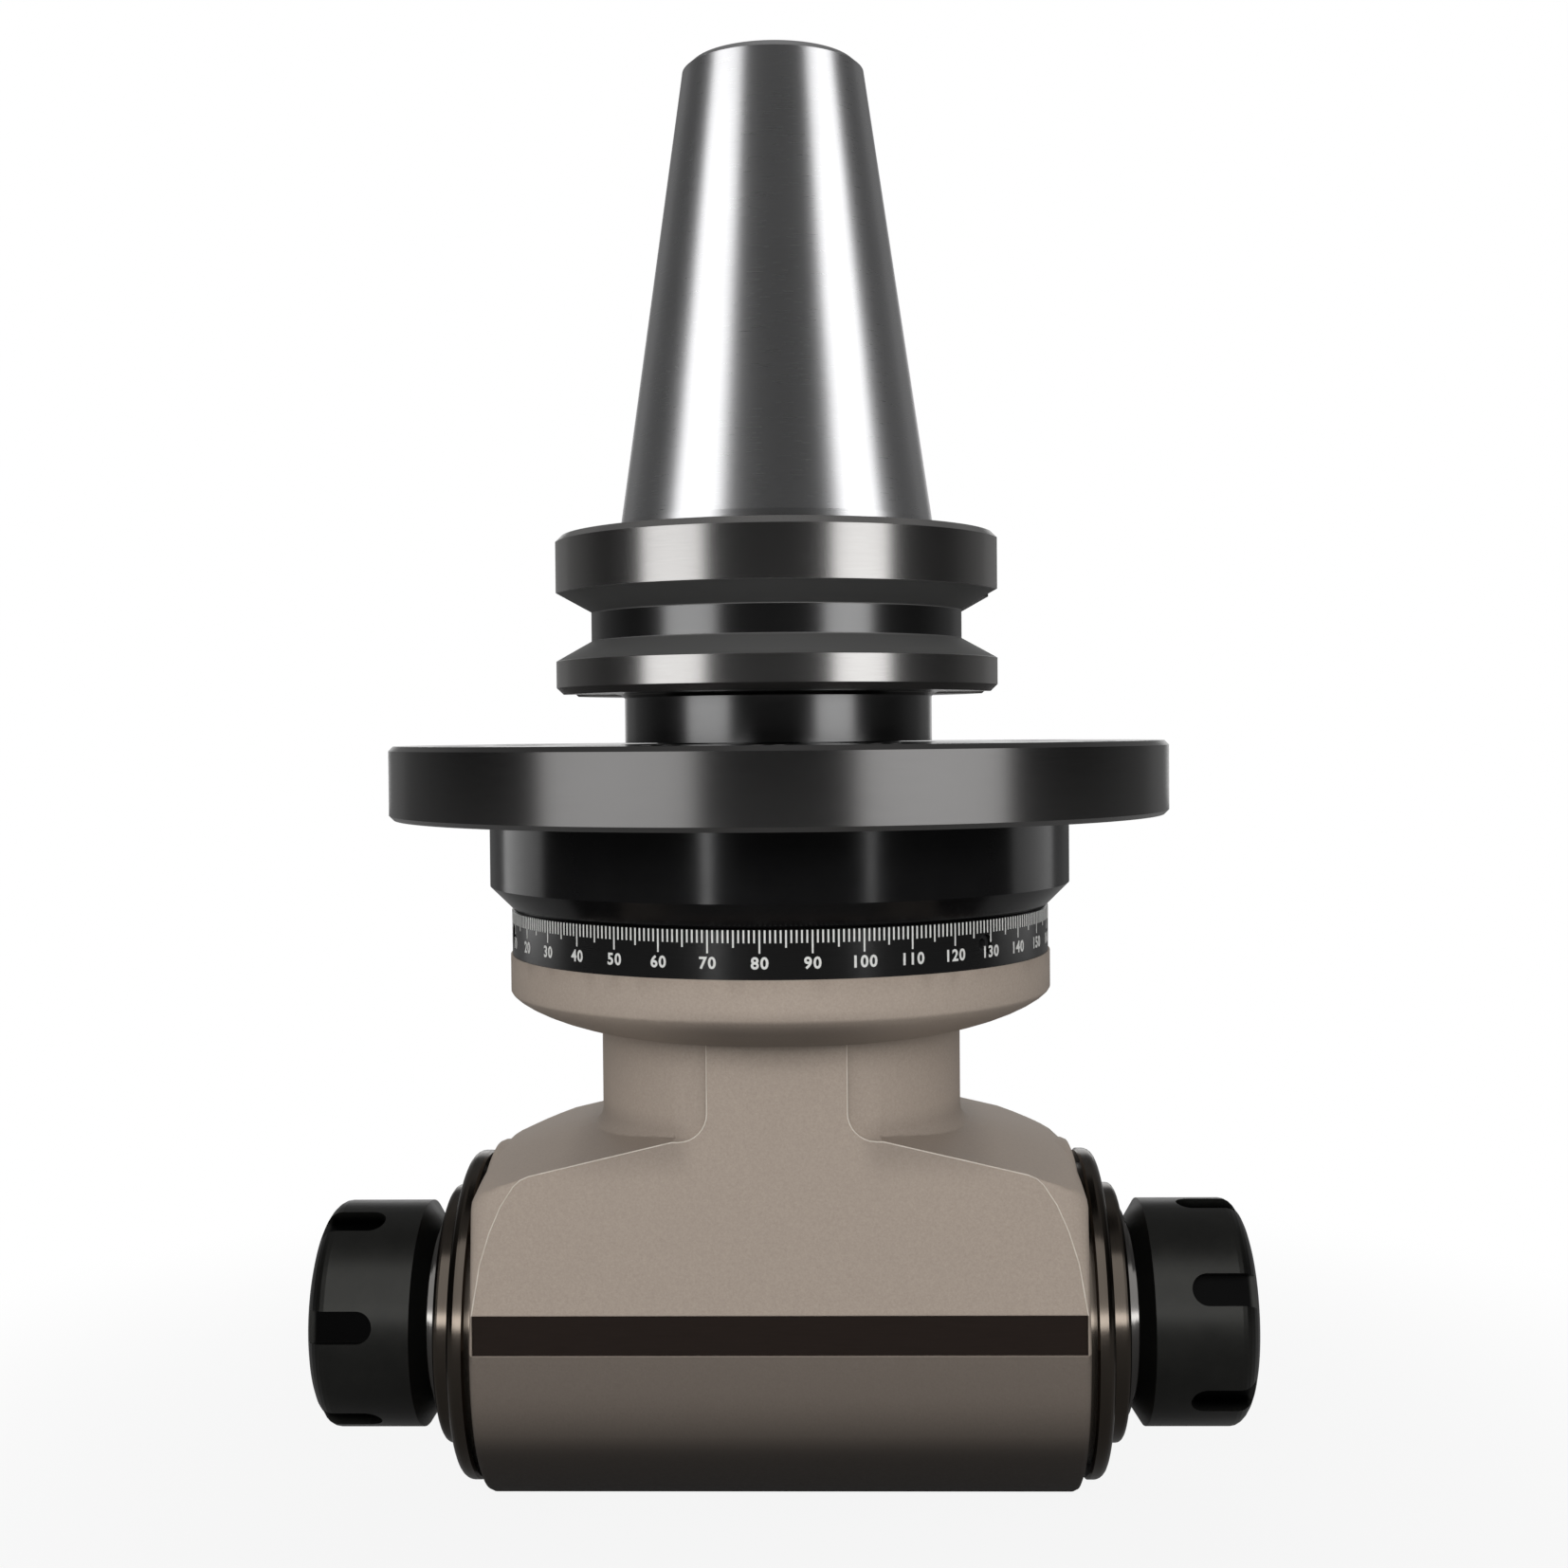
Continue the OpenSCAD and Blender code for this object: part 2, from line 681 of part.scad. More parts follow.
module scale_ring() {
    ring_bevel = 0.4;
    color(black_oxide) difference() {
        rotate_extrude() polygon([
            [boss_d / 2 + seat_gap, ring_top],
            [ring_d / 2 - ring_bevel, ring_top],
            [ring_d / 2, ring_top - ring_bevel],
            [ring_d / 2, head_top],
            [boss_d / 2 + seat_gap, head_top]]);
        for (a = grub_angles) rotate([0, 0, a]) translate([0, 0, grub_z]) rotate([0, 90, 0])
            cylinder(d = grub_d + 2 * seat_gap, h = ring_d);
    }
}

module scale_ring_screws() {
    color(bright_screw) for (a = grub_angles) rotate([0, 0, a]) translate([0, 0, grub_z])
        set_screw(grub_d, boss_d / 2 + 0.1, ring_d / 2 - 1);
}

// Cast housing
neck_r = casting_neck_d / 2;
barrel_r = barrel_d / 2;

// Rounded underside of the head flange, as a curve from its rim in to the neck
bell_power = 1.42;
function bell_point(t) = [
    neck_r + (head_d / 2 - neck_r) * pow(cos(t), 2 / bell_power),
    bell_top - bell_h * pow(sin(t), 2 / bell_power)];

// Tangent arc between the barrel's end and the sloping shoulder
corner_x = barrel_end - shoulder_r;
corner_z = shoulder_h - (corner_x - neck_r) * tan(shoulder_slope) - shoulder_r / cos(shoulder_slope);
function shoulder_corner(turn) = [
    corner_x + shoulder_r * cos(turn), corner_z + shoulder_r * sin(turn)];

// Half outline of the casting's middle, then the flat face's with the same number of points
outer_half = [
    [barrel_end, 0],
    [barrel_end, band_h],
    [barrel_end, corner_z * 0.6],
    shoulder_corner(0),
    shoulder_corner((90 - shoulder_slope) * 0.25),
    shoulder_corner((90 - shoulder_slope) * 0.5),
    shoulder_corner((90 - shoulder_slope) * 0.75),
    shoulder_corner(90 - shoulder_slope),
    [neck_r, shoulder_h],
    [neck_r - 8, shoulder_h]];
// How far the flat face's edge rises above the shoulder's height beside the neck
face_rise = 1.8;
strip_foot_x = 22;
face_slope = 13.2;
face_top = shoulder_h + face_rise;
function face_line(x) = face_top - (x - strip_foot_x) * tan(face_slope);
face_corner = barrel_end - edge_r * 2.2;
face_half = [
    [barrel_end - edge_r * 0.13, 0],
    [barrel_end - edge_r * 0.13, face_line(face_corner) * 0.25],
    [barrel_end - edge_r * 0.45, face_line(face_corner) * 0.53],
    [barrel_end - edge_r * 0.8, face_line(face_corner) * 0.7],
    [barrel_end - edge_r * 1.2, face_line(face_corner) * 0.84],
    [barrel_end - edge_r * 1.65, face_line(face_corner) * 0.945],
    [barrel_end - edge_r * 1.9, face_line(face_corner) * 0.98],
    [face_corner, face_line(face_corner)],
    [neck_r, face_line(neck_r)],
    [strip_foot_x, face_top]];
function both_halves(half) = concat(half,
    [for (i = [len(half) - 1 : -1 : 0]) [-half[i][0], half[i][1]]]);
function between(a, b, share) = [for (i = [0 : len(a) - 1]) a[i] * (1 - share) + b[i] * share];

// The shoulders are crowned: they fall by this much from the middle to the edge rounding
crown_drop = 2.9;
function crowned(half, reach) = [for (p = half)
    [p[0], p[1] > band_h ? p[1] - crown_drop * pow(reach / (barrel_r - edge_r), 2) : p[1]]];

// One slice of the casting, turned upright and centred on the front-back plane
module upright(reach) {
    rotate([90, 0, 0]) linear_extrude(2 * reach, center = true) children();
}

module edge_slice(depth_in) {
    inset = 1 - sqrt(1 - pow(1 - depth_in / edge_r, 2));
    upright(barrel_r - depth_in)
        polygon(both_halves(between(crowned(outer_half, barrel_r - edge_r), face_half, inset)));
}

strip_top = axis_drop + bell_bottom + 0.4;
strip_r = 6;
strip_t = 10;
module flat_face() {
    edge = strip_w / 2;
    arc = [for (turn = [180 : 11 : 257])
        [edge + strip_r + strip_r * cos(turn), face_top + strip_r + strip_r * sin(turn)]];
    foot = [[edge + strip_r, face_top], [edge + strip_r, shoulder_h / 2]];
    half = concat([[edge, strip_top]], arc, foot);
    rotate([90, 0, 0]) linear_extrude(strip_t)
        polygon(concat(half, [for (i = [len(half) - 1 : -1 : 0]) [-half[i][0], half[i][1]]]));
}

neck_fillet = 4.5;
module neck_root() {
    arc_end = 270 - shoulder_slope;
    centre_x = neck_r + neck_fillet;
    centre_z = shoulder_h + neck_fillet * 0.7;
    intersection() {
        rotate_extrude() polygon(concat(
            [[neck_r - 2, centre_z]],
            [for (turn = [180 : 8 : arc_end])
                [centre_x + neck_fillet * cos(turn), centre_z + neck_fillet * sin(turn)]],
            [[centre_x - neck_fillet * 0.35, shoulder_h - 8], [neck_r - 2, shoulder_h - 8]]));
        cube([barrel_l, 2 * (barrel_r - edge_r + 1), 4 * axis_drop], center = true);
    }
}

module barrel() {
    rim_r = 1.5;
    rotate([0, 90, 0]) rotate_extrude() polygon([
        [0, -barrel_end],
        [barrel_r - rim_r, -barrel_end],
        [barrel_r - rim_r * 0.3, -barrel_end + rim_r * 0.3],
        [barrel_r, -barrel_end + rim_r],
        [barrel_r, barrel_end - rim_r],
        [barrel_r - rim_r * 0.3, barrel_end - rim_r * 0.3],
        [barrel_r - rim_r, barrel_end],
        [0, barrel_end]]);
}

module casting() {
    rotate_extrude() polygon(concat(
        [[0, spigot_top],
         [spigot_d / 2, spigot_top],
         [spigot_d / 2, clamp_z + clamp_screw_d / 2 + 1],
         [spigot_d / 2 - clamp_groove_depth, clamp_z + clamp_screw_d / 2 + 0.5],
         [spigot_d / 2 - clamp_groove_depth, clamp_z - clamp_screw_d / 2 - 0.5],
         [spigot_d / 2, clamp_z - clamp_screw_d / 2 - 1],
         [spigot_d / 2, collar_bottom - swivel_gap],
         [boss_d / 2, collar_bottom - swivel_gap],
         [boss_d / 2, head_top],
         [head_d / 2, head_top]],
        [for (t = [0 : 10 : 90]) bell_point(t)],
        [[neck_r, -axis_drop], [0, -axis_drop]]));
    translate([0, 0, -axis_drop]) {
        hull() {
            for (depth = [0, 0.08, 0.3, 0.6, 1]) edge_slice(depth * edge_r);
            for (share = [0.15, 0.4, 0.7]) let (reach = share * (barrel_r - edge_r))
                upright(reach) polygon(both_halves(crowned(outer_half, reach)));
        }
        barrel();
        neck_root();
        translate([0, -barrel_r + strip_t, 0]) flat_face();
        translate([0, barrel_r, 0]) flat_face();
    }
}

chamber_d = out_od - 4;
// Height of the band's lower edge above the output axis
band_rise = 1.6;
shaft_bay_d = lower_od - 6;

module housing() {
    band_low = -axis_drop + band_rise;
    color(cast_beige) difference() {
        casting();
        for (side = [-1, 1]) translate([-strip_w / 2, side > 0 ? barrel_r : -barrel_r - strip_t, -axis_drop])
            cube([strip_w, strip_t, strip_top]);
        seat(upper_od, spigot_top + 1, upper_bottom);
        seat(relief_d, upper_bottom, lower_top);
        seat(lower_od, upper_bottom - 1, lower_bottom);
        translate([0, 0, -axis_drop]) cylinder(d = shaft_bay_d, h = axis_drop + lower_bottom + eps);
        translate([0, 0, -axis_drop]) rotate([0, 90, 0])
            cylinder(d = chamber_d, h = barrel_l + 2, center = true);
        for (side = [-1, 1]) on_output(side) seat(out_od, barrel_end + 1, bearing_in);
        translate([-barrel_end + band_lip, -barrel_r - 1, band_low])
            cube([barrel_l - 2 * band_lip, band_depth + 1, band_h]);
        translate([0, 0, spigot_top - retainer_screw_l + 2]) ring_of(retainer_screws_n, retainer_screw_r)
            cylinder(d = retainer_screw_d + 2 * seat_gap, h = retainer_screw_l);
    }
}

// Output spindles, all drawn along +Z and turned onto the output axis
module output_spindle() {
    taper_r = collet_r_at(nose_end) + run_gap;
    back_r = max(collet_r_at(collet_back - 1) + run_gap, spindle_bore_d / 2);
    bore_start = gear_front + 10;
    difference() {
        rotate_extrude() polygon([
            [0, spindle_end],
            [gear_shaft_d / 2 - spindle_end_step, spindle_end],
            [gear_shaft_d / 2 - spindle_end_step, gear_front],
            [gear_shaft_d / 2, gear_front],
            [gear_shaft_d / 2, bearing_in],
            [out_shaft_d / 2, bearing_in],
            [out_shaft_d / 2, bearing_out],
            [spindle_neck_d / 2, bearing_out],
            [spindle_neck_d / 2, neck_end],
            [nose_d / 2, neck_end],
            [nose_d / 2, nose_end - 1],
            [nose_d / 2 - 1, nose_end],
            [0, nose_end]]);
        rotate_extrude() polygon([
            [0, bore_start],
            [spindle_bore_d / 2, bore_start],
            [spindle_bore_d / 2, collet_back - 1],
            [back_r, collet_back - 1],
            [taper_r, nose_end],
            [taper_r, nose_end + 1],
            [0, nose_end + 1]]);
        key_slot(gear_shaft_d, bearing_in, gear_front);
    }
}

// Two bearings side by side, each a little narrower than its place so that the rings stay apart
pair_b = out_b - pair_gap;
module output_bearing_pair() {
    translate([0, 0, bearing_in]) children();
    translate([0, 0, bearing_out - pair_b]) children();
}

module bearing_cap() {
    seal_bore = seal_od + 2 * seat_gap;
    lip_bore = spindle_neck_d + 3;
    undercut_r = out_od / 2 + 2;
    round_r = 2.2;
    under_end = barrel_end + cap_undercut;
    difference() {
        rotate_extrude() polygon(concat(
            [[lip_bore / 2, bearing_out],
             [out_od / 2 - seat_gap, bearing_out],
             [out_od / 2 - seat_gap, barrel_end],
             [undercut_r, barrel_end],
             [undercut_r, under_end],
             [cap_d / 2 - 0.5, under_end],
             [cap_d / 2, under_end + 0.5]],
            [for (turn = [0 : 15 : 90])
                [cap_d / 2 - round_r + round_r * cos(turn), cap_end - round_r + round_r * sin(turn)]],
            [[seal_bore / 2, cap_end],
             [seal_bore / 2, bearing_out + 2],
             [lip_bore / 2, bearing_out + 2]]));
        ring_of(4, (cap_d + labyrinth_d) / 4 + 0.3, 45)
            translate([0, 0, cap_end - 2.5]) cylinder(d = 2.5, h = 4);
    }
}

seal_od = spindle_neck_d + 9;
seal_l = 4.5;

module spindle_seal() {
    lip_r = spindle_neck_d / 2 + run_gap;
    start = bearing_out + 2;
    rotate_extrude() polygon([
        [lip_r, start],
        [seal_od / 2, start],
        [seal_od / 2, start + seal_l],
        [lip_r + 1, start + seal_l],
        [lip_r + 1, start + seal_l - 1],
        [lip_r, start + seal_l - 2]]);
}

module labyrinth_ring() {
    bore_r = spindle_neck_d / 2 + seat_gap;
    lip_r = seal_od / 2 - 1;
    lip_l = 1;
    round_r = 1.2;
    rotate_extrude() polygon(concat(
        [[bore_r, labyrinth_start - lip_l],
         [lip_r, labyrinth_start - lip_l],
         [lip_r, labyrinth_start],
         [labyrinth_d / 2, labyrinth_start]],
        [for (turn = [0 : 22.5 : 90])
            [labyrinth_d / 2 - round_r + round_r * cos(turn),
             labyrinth_end - round_r + round_r * sin(turn)]],
        [[bore_r, labyrinth_end]]));
}

// Radius of the collet's long cone at a station along the spindle
function collet_r_at(station) = collet_d / 2 - (groove_start - station) * tan(cone_angle);

module collet() {
    tip_start = collet_front - collet_tip_l;
    groove_r = collet_d / 2 - 1.2;
    slit_l = collet_l * 0.75;
    difference() {
        rotate_extrude() polygon([
            [0, collet_back],
            [collet_r_at(collet_back) - 0.5, collet_back],
            [collet_r_at(collet_back + 0.5), collet_back + 0.5],
            [collet_d / 2, groove_start],
            [groove_r, groove_start],
            [groove_r, groove_end],
            [collet_d / 2, groove_end],
            [collet_d / 2, tip_start],
            [collet_d / 2 - collet_tip_l * tan(front_angle), collet_front],
            [0, collet_front]]);
        translate([0, 0, collet_back - 1]) cylinder(d = tool_d, h = collet_l + 2);
        for (end = [0, 1]) ring_of(slit_n, 0, end * 180 / slit_n)
            translate([tool_d / 4, -slit_w / 2, end == 0 ? collet_back - 1 : collet_front - slit_l])
                cube([collet_d, slit_w, slit_l + 1]);
    }
}

module nut(slot_turn) {
    tip_start = collet_front - collet_tip_l;
    mouth_gap = run_gap * 2;
    nut_r = nut_d / 2;
    face_r = collet_d / 2 - collet_tip_l * tan(front_angle) + mouth_gap + 0.6;
    cylinder_end = nut_reach - nut_round;
    bore_r = nose_d / 2 + run_gap + 0.05;
    slot_end = nut_reach - slot_l + slot_w / 2;
    difference() {
        rotate_extrude() polygon(concat(
            [[bore_r, nut_rear],
             [nut_r - nut_bevel_r, nut_rear],
             [nut_r, nut_rear + nut_bevel_l]],
            [for (turn = [0 : 11.25 : 90])
                [face_r + 1 + (nut_r - face_r - 1) * cos(turn), cylinder_end + nut_round * sin(turn)]],
            [[face_r, nut_reach],
             [collet_d / 2 + mouth_gap, tip_start],
             [collet_d / 2 + mouth_gap, lip_end],
             [collet_d / 2 - 0.9, lip_end],
             [collet_d / 2 - 0.9, lip_start],
             [bore_r, lip_start]]));
        ring_of(slot_n, nut_r - slot_depth, slot_turn) {
            translate([0, -slot_w / 2, slot_end]) cube([nut_r, slot_w, slot_l]);
            translate([0, 0, slot_end]) rotate([0, 90, 0]) cylinder(d = slot_w, h = nut_r);
        }
    }
}

module side_gear_lock_nut() {
    thread_d = gear_shaft_d - 2 * spindle_end_step;
    slotted_nut(thread_d + 8, thread_d + 2 * seat_gap, spindle_end, gear_front);
}

module side_gear() {
    bevel_gear(gear_shaft_d, bearing_in, 180 / teeth);
}

module gear_key() {
    key_slot(gear_shaft_d, bearing_in - 1, gear_front + 1);
}

mounting_disc();
swivel_collar();
disc_screws();
clamp_screws();
shaft_seal();
housing();
scale_ring();
scale_ring_screws();
swivel_retainer();
retainer_screws();
upper_bearing_outer();
upper_bearing_balls();
lower_bearing_outer();
lower_bearing_balls();
color(bright_screw) on_output(-1) output_bearing_pair() outer_race(out_shaft_d, out_od, pair_b);  // left_bearing_outers
color(polished) on_output(-1) output_bearing_pair() balls(out_shaft_d, out_od, pair_b);  // left_bearing_balls
color(brown_steel) on_output(-1) bearing_cap();  // left_bearing_cap
color(seal_rubber) on_output(-1) spindle_seal();  // left_seal
color(bright_screw) on_output(1) output_bearing_pair() outer_race(out_shaft_d, out_od, pair_b);  // right_bearing_outers
color(polished) on_output(1) output_bearing_pair() balls(out_shaft_d, out_od, pair_b);  // right_bearing_balls
color(brown_steel) on_output(1) bearing_cap();  // right_bearing_cap
color(seal_rubber) on_output(1) spindle_seal();  // right_seal
taper_shank();
drive_flange();
upper_bearing_inner();
lower_bearing_inner();
input_spacer();
input_lock_nut();
drive_pinion();
pinion_key();
pinion_washer();
pinion_bolt();
color(dark_steel) on_output(-1) output_spindle();  // left_spindle
color(bright_screw) on_output(-1) output_bearing_pair() inner_race(out_shaft_d, out_od, pair_b);  // left_bearing_inners
color(dark_steel) on_output(-1) side_gear();  // left_gear
color(bright_screw) on_output(-1) gear_key();  // left_gear_key
color(dark_steel) on_output(-1) side_gear_lock_nut();  // left_lock_nut
color(brown_steel) on_output(-1) labyrinth_ring();  // left_labyrinth_ring
color(dark_steel) on_output(1) output_spindle();  // right_spindle
color(bright_screw) on_output(1) output_bearing_pair() inner_race(out_shaft_d, out_od, pair_b);  // right_bearing_inners
color(dark_steel) on_output(1) side_gear();  // right_gear
color(bright_screw) on_output(1) gear_key();  // right_gear_key
color(dark_steel) on_output(1) side_gear_lock_nut();  // right_lock_nut
color(brown_steel) on_output(1) labyrinth_ring();  // right_labyrinth_ring
color(polished) on_output(-1) collet();  // left_collet
color(black_oxide) on_output(-1) nut(left_slot_turn);  // left_nut
color(polished) on_output(1) collet();  // right_collet
color(black_oxide) on_output(1) nut(right_slot_turn);  // right_nut
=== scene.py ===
import json
import math
import bpy
from mathutils import Matrix, Vector


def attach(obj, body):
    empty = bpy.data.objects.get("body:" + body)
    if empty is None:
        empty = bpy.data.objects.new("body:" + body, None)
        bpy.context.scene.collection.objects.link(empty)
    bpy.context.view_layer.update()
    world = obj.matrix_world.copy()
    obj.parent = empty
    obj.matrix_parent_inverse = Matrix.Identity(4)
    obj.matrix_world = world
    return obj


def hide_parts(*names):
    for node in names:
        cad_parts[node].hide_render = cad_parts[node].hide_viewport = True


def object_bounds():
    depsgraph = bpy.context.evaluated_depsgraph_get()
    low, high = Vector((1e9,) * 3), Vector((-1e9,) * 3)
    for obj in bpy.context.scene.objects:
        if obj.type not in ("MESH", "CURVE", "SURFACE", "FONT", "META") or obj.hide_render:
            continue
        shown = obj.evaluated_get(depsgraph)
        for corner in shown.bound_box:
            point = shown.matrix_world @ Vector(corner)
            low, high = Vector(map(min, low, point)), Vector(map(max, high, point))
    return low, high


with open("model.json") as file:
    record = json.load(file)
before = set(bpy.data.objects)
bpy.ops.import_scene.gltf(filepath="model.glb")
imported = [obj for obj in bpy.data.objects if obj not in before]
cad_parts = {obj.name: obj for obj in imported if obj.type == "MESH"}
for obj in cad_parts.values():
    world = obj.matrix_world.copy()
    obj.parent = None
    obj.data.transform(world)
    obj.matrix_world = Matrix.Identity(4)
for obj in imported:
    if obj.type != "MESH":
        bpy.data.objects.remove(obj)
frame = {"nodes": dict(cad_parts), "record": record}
nodes = frame["nodes"]
cadLow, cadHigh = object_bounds()
mm = 0.001
print("frame loaded:", len(nodes), "nodes")

# camera and light

camera = {"distance": 453.5 * mm, "height": -46.7 * mm, "side": 12.3 * mm,
          "lens": 46.17, "sensor": 36, "nearest": 0.01, "farthest": 20,
          "pitch": -1.464, "roll": 0.497, "yaw": 1.4}


def placeCamera():
    data = bpy.data.cameras.new("viewCamera")
    data.lens = camera["lens"]
    data.sensor_width = camera["sensor"]
    data.clip_start, data.clip_end = camera["nearest"], camera["farthest"]
    view = bpy.data.objects.new("viewCamera", data)
    bpy.context.scene.collection.objects.link(view)
    view.location = (camera["side"], -camera["distance"], camera["height"])
    turns = (90 + camera["pitch"], camera["roll"], camera["yaw"])
    view.rotation_euler = [math.radians(turn) for turn in turns]
    bpy.context.scene.camera = view


placeCamera()

# the photo's pieces are lit each in its own way, so most lamps shine on one group of pieces alone
litPieces = {"taper": ["taper_shank"], "grip": ["drive_flange"], "disc": ["mounting_disc"],
             "collar": ["swivel_collar", "scale_ring"],
             "caps": ["left_bearing_cap", "right_bearing_cap", "left_labyrinth_ring", "right_labyrinth_ring",
                      "left_spindle", "right_spindle"]}
litPieces["barrel"] = ["left_nut", "right_nut"] + litPieces["caps"]

# azimuth 0 is the camera's side and 90 the object's right; level is the brightness of the lamp's face
usualLamp = {"distance": 1.2, "use": "shine"}
lamps = {
    "taperLeft": {"azimuth": -59, "elevation": 14, "size": (0.8, 1.3), "level": 2.2, "on": "taper"},
    "taperRight": {"azimuth": 65, "elevation": 14, "size": (0.72, 1.3), "level": 2.3, "on": "taper"},
    "taperFront": {"azimuth": 0, "elevation": 30, "size": (1.0, 0.8), "level": 0.035, "on": "taper"},
    "gripLeft": {"azimuth": -51, "elevation": 1, "size": (0.72, 0.55), "level": 1.8, "on": "grip"},
    "gripRight": {"azimuth": 43, "elevation": 1, "size": (0.62, 0.55), "level": 2.0, "on": "grip"},
    "discLeft": {"azimuth": -43, "elevation": 1, "size": (1.0, 0.55), "level": 1.6, "on": "disc"},
    "discRight": {"azimuth": 44, "elevation": 1, "size": (0.95, 0.55), "level": 1.75, "on": "disc"},
    "leftFill": {"azimuth": -54, "elevation": 8, "size": (0.9, 0.8), "level": 1.6, "use": "diffuse"},
    "rightFill": {"azimuth": 54, "elevation": 8, "size": (0.9, 0.8), "level": 1.6, "use": "diffuse"},
    "frontFill": {"azimuth": 0, "elevation": 20, "size": (0.9, 0.4), "level": 6.0, "use": "diffuse"},
    "backFill": {"azimuth": 180, "elevation": 35, "size": (1.2, 0.8), "level": 1.6, "use": "diffuse"},
    "backLeft": {"azimuth": -142, "elevation": 12, "size": (0.5, 1.2), "level": 0.06},
    "backRight": {"azimuth": 142, "elevation": 12, "size": (0.5, 1.2), "level": 0.06},
    "barrelBox": {"azimuth": 0, "elevation": 34, "distance": 1.0, "size": (1.4, 1.1), "level": 1.4, "on": "barrel"},
    "lowStrip": {"azimuth": 0, "elevation": 2.5, "distance": 0.9, "size": (1.2, 0.2), "level": 1.6, "on": "barrel"},
    "capStrip": {"azimuth": 0, "elevation": 1, "distance": 0.9, "size": (1.2, 0.14), "level": 6.5, "on": "caps"},
    "collarLeft": {"azimuth": -116, "elevation": 8, "size": (0.7, 1.0), "level": 2.4, "on": "collar"},
    "collarRight": {"azimuth": 116, "elevation": 8, "size": (0.7, 1.0), "level": 1.5, "on": "collar"},
    "leftStrip": {"azimuth": -25, "elevation": 4, "distance": 1.1, "size": (0.06, 1.2), "level": 22, "on": "collar"},
    "rightStrip": {"azimuth": 35, "elevation": 4, "distance": 1.1, "size": (0.05, 1.2), "level": 16, "on": "collar"},
}
aim = Vector((0, 0, -60 * mm))


def placeLamps():
    for name, settings in lamps.items():
        lamp = {**usualLamp, **settings}
        width, height = lamp["size"]
        data = bpy.data.lights.new(name, "AREA")
        data.shape = "RECTANGLE"
        data.size, data.size_y = width, height
        data.energy = lamp["level"] * math.pi * width * height
        light = bpy.data.objects.new(name, data)
        bpy.context.scene.collection.objects.link(light)
        around, up = math.radians(lamp["azimuth"]), math.radians(lamp["elevation"])
        toLamp = Vector((math.sin(around) * math.cos(up), -math.cos(around) * math.cos(up), math.sin(up)))
        light.location = aim + toLamp * lamp["distance"]
        light.rotation_euler = toLamp.to_track_quat("Z", "Y").to_euler()
        light.visible_camera = False
        light.visible_diffuse = lamp["use"] == "diffuse"
        light.visible_glossy = lamp["use"] == "shine"
        if "on" in lamp:
            lit = bpy.data.collections.new(name + "Lit")
            for piece in litPieces[lamp["on"]]:
                lit.objects.link(nodes[piece])
            light.light_linking.receiver_collection = lit


placeLamps()
print("camera and lamps placed")

# shader helpers


class Term:
    # the output of a node, which Python's operators turn into Math nodes

    def __init__(self, graph, socket):
        self.graph = graph
        self.socket = socket

    def math(self, operation, *values):
        return self.graph.add("Math", {"operation": operation}, dict(enumerate(values)))

    def __add__(self, other):
        return self.math("ADD", self, other)

    def __radd__(self, other):
        return self.math("ADD", other, self)

    def __sub__(self, other):
        return self.math("SUBTRACT", self, other)

    def __rsub__(self, other):
        return self.math("SUBTRACT", other, self)

    def __mul__(self, other):
        return self.math("MULTIPLY", self, other)

    def __rmul__(self, other):
        return self.math("MULTIPLY", other, self)

    def above(self, edge, soft):
        # 0 below edge and 1 past it, over a soft width
        return self.graph.add("MapRange", {"interpolation_type": "SMOOTHSTEP"},
                              {"Value": self, "From Min": edge - soft / 2, "From Max": edge + soft / 2})

    def below(self, edge, soft):
        return 1 - self.above(edge, soft)


class Graph:
    # the nodes of a material or of the world

    def __init__(self, owner, place="Object"):
        owner.use_nodes = True
        self.owner = owner
        self.tree = owner.node_tree
        self.tree.nodes.clear()
        self.place = self.add("TexCoord", out=place)

    def add(self, kind, settings=None, sockets=None, out=0):
        # the settings come first, because they decide which sockets a node has
        node = self.tree.nodes.new("ShaderNode" + kind)
        for key, value in (settings or {}).items():
            setattr(node, key, value)
        for key, value in (sockets or {}).items():
            socket = node.inputs[key]
            if isinstance(value, Term):
                self.tree.links.new(value.socket, socket)
            elif socket.type == "RGBA":
                socket.default_value = (*value, 1)
            else:
                socket.default_value = value
        return Term(self, node.outputs[out]) if len(node.outputs) else None

    def axes(self):
        split = self.add("SeparateXYZ", {}, {0: self.place})
        return [Term(self, socket) for socket in split.socket.node.outputs]

    def rays(self, *kinds):
        return [self.add("LightPath", out="Is " + kind + " Ray") for kind in kinds]


class Finish(Graph):
    def __init__(self, name):
        super().__init__(bpy.data.materials.new(name))

    def noise(self, size, detail=2.0, rough=0.5, stretch=(1, 1, 1)):
        # size is the width of one speck in metres
        spot = self.add("Mapping", {}, {"Vector": self.place, "Scale": stretch})
        return self.add("TexNoise", {}, {"Vector": spot, "Scale": 1 / size, "Detail": detail, "Roughness": rough})

    def blend(self, share, low, high):
        # sockets 0, 6 and 7 are the Mix node's factor and its two colours, and output 2 is the colour
        return self.add("Mix", {"data_type": "RGBA"}, {0: share, 6: low, 7: high}, out=2)

    def bump(self, height, depth, **sockets):
        return self.add("Bump", {}, {"Height": height, "Distance": depth, **sockets}, out="Normal")

    def close(self, **sockets):
        names = {"colour": "Base Color", "roughness": "Roughness", "metallic": "Metallic", "normal": "Normal",
                 "specular": "Specular IOR Level"}
        shader = self.add("BsdfPrincipled", {}, {names[key]: value for key, value in sockets.items()})
        self.add("OutputMaterial", {}, {"Surface": shader})
        return self.owner


def ringMarks(axis, along):
    # noise that is fine along one axis and drawn out round it, as tool marks are
    return tuple(1 if place == axis else along for place in range(3))


# finishes

